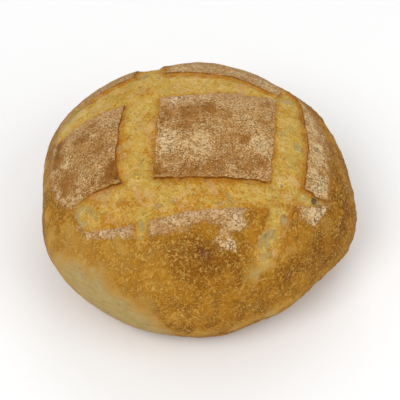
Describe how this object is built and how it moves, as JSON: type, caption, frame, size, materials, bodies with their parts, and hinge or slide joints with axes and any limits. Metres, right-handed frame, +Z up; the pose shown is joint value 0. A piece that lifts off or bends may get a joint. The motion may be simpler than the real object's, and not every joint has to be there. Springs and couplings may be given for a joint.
{
  "type": "sourdough loaf",
  "caption": "Round sourdough loaf with a noughts-and-crosses score opened into crumb channels between floured plates of crust, on a flat base.",
  "frame": {"origin": "middle of the flat base, under the centre of the loaf's bounding box", "axes": "+Z up from the base, +X to the loaf's right, -Y to its front, so that two of the four cuts run along Y and two along X"},
  "size_m": [0.2254, 0.2272, 0.1104],
  "materials": {
    "crust": null
  },
  "bodies": {
    "root": {"loaf": "crust"}
  },
  "joints": []
}
